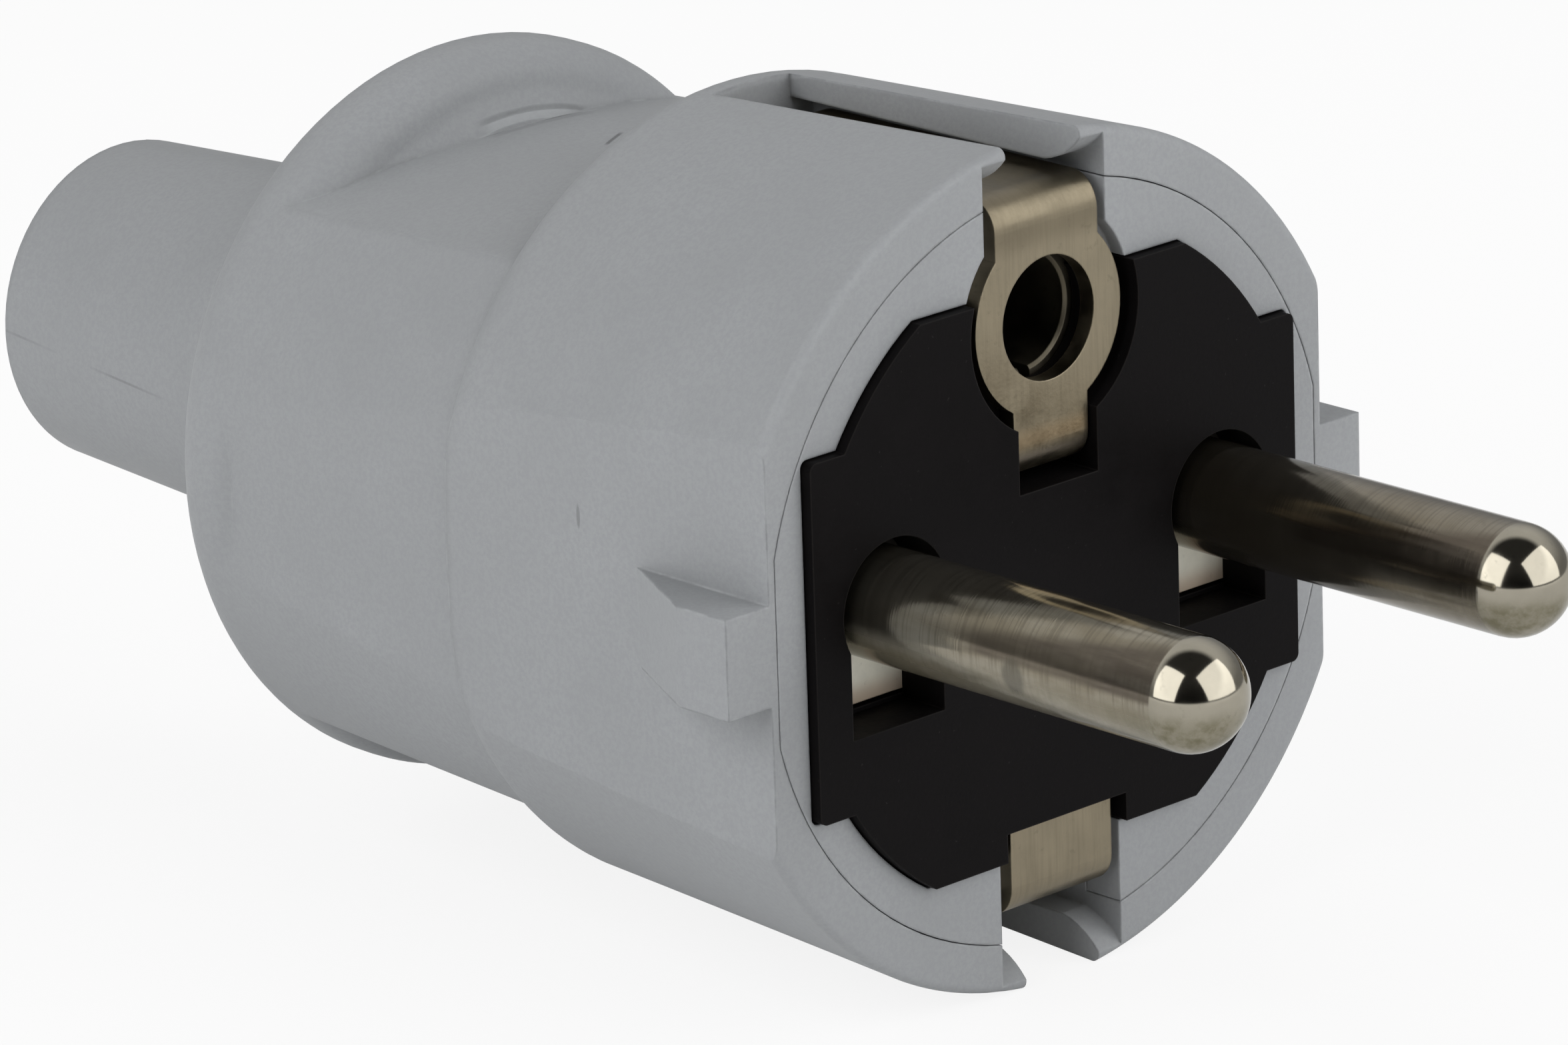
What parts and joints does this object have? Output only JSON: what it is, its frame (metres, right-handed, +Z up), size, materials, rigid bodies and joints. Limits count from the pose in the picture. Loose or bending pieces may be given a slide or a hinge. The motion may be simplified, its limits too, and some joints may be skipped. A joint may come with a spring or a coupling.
{
  "type": "type f plug",
  "caption": "Straight rewireable mains plug with two round pins, side earth strips in its grooves, an earth pin hole, finger flats, a grip collar and a cable sleeve.",
  "frame": {"origin": "midway between the pins on the face of the contact insert, which is the plug's engagement face", "axes": "-Y along the pins into the socket, +Y along the cable sleeve, +Z up towards the earth pin hole, X from the left pin to the right pin"},
  "size_m": [0.037, 0.0789, 0.0364],
  "materials": {
    "grey_plastic": "light grey moulding with a fine satin grain",
    "black_plastic": "black thermoset, matte",
    "plated_metal": "nickel plating over brass, satin",
    "brass": "plain machined brass",
    "steel": "zinc plated steel"
  },
  "bodies": {
    "root": {"hood": "grey_plastic", "front_ring": "grey_plastic", "contact_insert": "black_plastic", "terminal_block": "black_plastic", "cable_carrier": "black_plastic", "cord_clamp": "black_plastic", "earth_strap": "plated_metal", "earth_socket": "plated_metal", "pin_left": "plated_metal", "pin_right": "plated_metal", "pin_terminal_left": "plated_metal", "pin_terminal_right": "plated_metal", "earth_terminal": "brass", "pin_plate_left": "plated_metal", "pin_plate_right": "plated_metal", "earth_plate": "plated_metal", "pin_screw_left": "steel", "pin_screw_right": "steel", "earth_screw": "steel", "clamp_screw_left": "steel", "clamp_screw_right": "steel", "hood_screw": "steel"}
  },
  "joints": []
}
